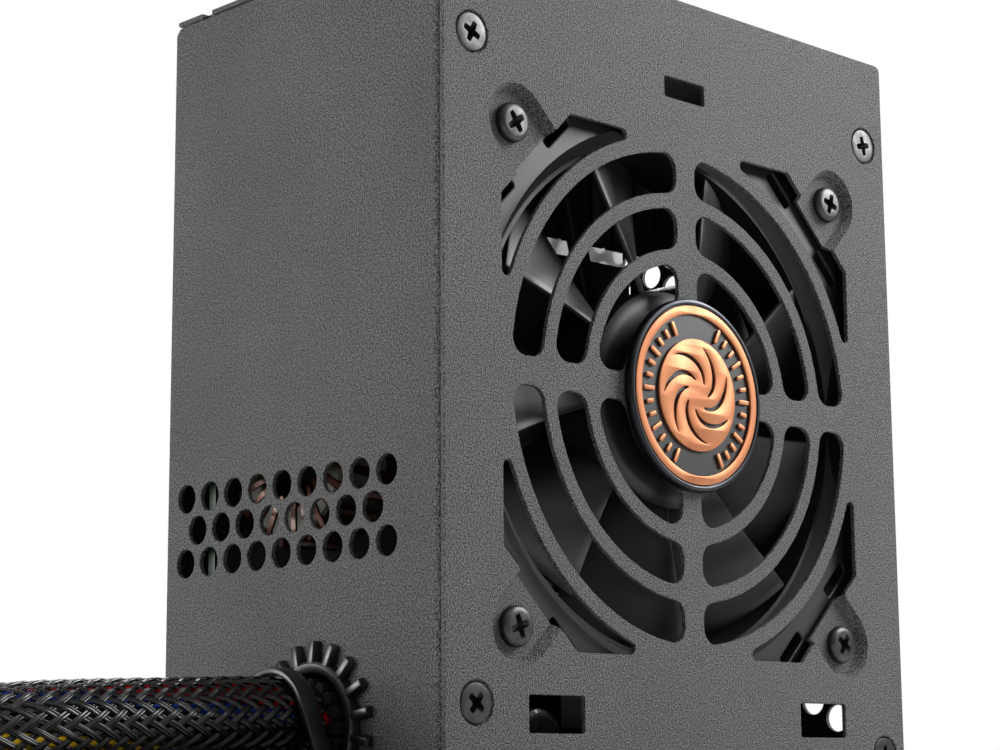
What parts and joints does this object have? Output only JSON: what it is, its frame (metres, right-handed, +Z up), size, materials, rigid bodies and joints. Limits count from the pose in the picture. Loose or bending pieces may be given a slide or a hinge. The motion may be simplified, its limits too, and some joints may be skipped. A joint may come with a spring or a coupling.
{
  "type": "power supply unit",
  "caption": "Compact computer power supply: folded steel case with a fan grille, cable grommet with two sleeved cables, mains inlet and rocker switch.",
  "frame": {"origin": "centre of the side panel that the unit stands on", "axes": "+Z up along the case height; +X from the cable wall to the mains wall; +Y from the fan face to the closed face"},
  "size_m": [0.2279, 0.1538, 0.125],
  "materials": {
    "shell_coat": "fine textured satin black powder coat",
    "bright_screw": "zinc plated",
    "fan_plastic": "moulded, satin",
    "magnet": "bonded ferrite, dull",
    "shaft_steel": "ground",
    "bearing_bronze": "sintered",
    "stator_coil": "enamelled winding on a laminated core",
    "lead_insulation": "extruded",
    "badge_metal": "satin rim",
    "badge_bronze": "satin bronze",
    "grommet_plastic": "moulded, semi-gloss",
    "tie_plastic": "moulded",
    "loom_wires": "insulated wires, mixed colours",
    "cable_sleeve": "open braided monofilament",
    "plug_plastic": "moulded",
    "inlet_plastic": "moulded",
    "blade_metal": "nickel plated",
    "rocker_plastic": "moulded, gloss",
    "board_laminate": "solder masked laminate",
    "insulation_film": "film",
    "ferrite": "sintered ferrite",
    "winding_tape": "polyester tape",
    "capacitor_sleeve": "shrunk sleeve",
    "heatsink_metal": "sawn sheet",
    "choke_copper": "enamelled copper",
    "choke_core": "painted powder core",
    "filter_case": "moulded case",
    "rectifier_case": "moulded"
  },
  "bodies": {
    "case": {"base_shell": "shell_coat", "cover_shell": "shell_coat", "case_screw_1": "bright_screw", "case_screw_2": "bright_screw", "case_screw_3": "bright_screw", "case_screw_4": "bright_screw", "fan_frame": "fan_plastic", "fan_bearing": "bearing_bronze", "fan_stator": "stator_coil", "fan_screw_1": "bright_screw", "fan_screw_2": "bright_screw", "fan_screw_3": "bright_screw", "fan_screw_4": "bright_screw", "fan_lead": "lead_insulation", "badge_body": "badge_metal", "badge_ring": "badge_bronze", "badge_disc": "badge_bronze", "cable_grommet": "grommet_plastic", "cable_tie": "tie_plastic", "wire_loom": "loom_wires", "main_cable": "cable_sleeve", "main_wires": "loom_wires", "main_plug_20": "plug_plastic", "main_plug_4": "plug_plastic", "cpu_cable": "cable_sleeve", "cpu_wires": "loom_wires", "cpu_plug_a": "plug_plastic", "cpu_plug_b": "plug_plastic", "mains_inlet": "inlet_plastic", "inlet_blade_1": "blade_metal", "inlet_blade_2": "blade_metal", "inlet_blade_3": "blade_metal", "switch_bezel": "inlet_plastic", "circuit_board": "board_laminate", "insulation_sheet": "insulation_film", "board_screw_1": "bright_screw", "board_screw_2": "bright_screw", "board_screw_3": "bright_screw", "board_screw_4": "bright_screw", "transformer_core": "ferrite", "transformer_winding": "winding_tape", "bulk_capacitor": "capacitor_sleeve", "output_capacitor_1": "capacitor_sleeve", "output_capacitor_2": "capacitor_sleeve", "output_capacitor_3": "capacitor_sleeve", "secondary_heatsink": "heatsink_metal", "primary_heatsink": "heatsink_metal", "mains_choke": "choke_copper", "output_choke": "choke_core", "filter_capacitor": "filter_case", "bridge_rectifier": "rectifier_case"},
    "fan": {"fan_rotor": "fan_plastic", "rotor_magnet": "magnet", "fan_shaft": "shaft_steel"},
    "rocker": {"switch_rocker": "rocker_plastic"},
    "main_lever": {"main_latch": "plug_plastic"},
    "cpu_lever": {"cpu_latch": "plug_plastic"}
  },
  "joints": [
    {"name": "fan_spin", "type": "hinge", "parent": "case", "child": "fan", "pos_m": [0, -0.022, 0.0625], "axis": [0, -1, 0], "continuous": true},
    {"name": "rocker_tilt", "type": "hinge", "parent": "case", "child": "rocker", "pos_m": [0.049, 0.008, 0.0565], "axis": [0, 1, 0], "range_deg": [-24, 0]},
    {"name": "main_latch_press", "type": "hinge", "parent": "case", "child": "main_lever", "pos_m": [0.0292, 0.06405, 0.0101], "axis": [0, 1, 0], "range_deg": [-8, 0], "stiffness_Nm_per_rad": 0.05},
    {"name": "cpu_latch_press", "type": "hinge", "parent": "case", "child": "cpu_lever", "pos_m": [0.0532, 0.10585, 0.0101], "axis": [0, 1, 0], "range_deg": [-8, 0], "stiffness_Nm_per_rad": 0.05}
  ]
}
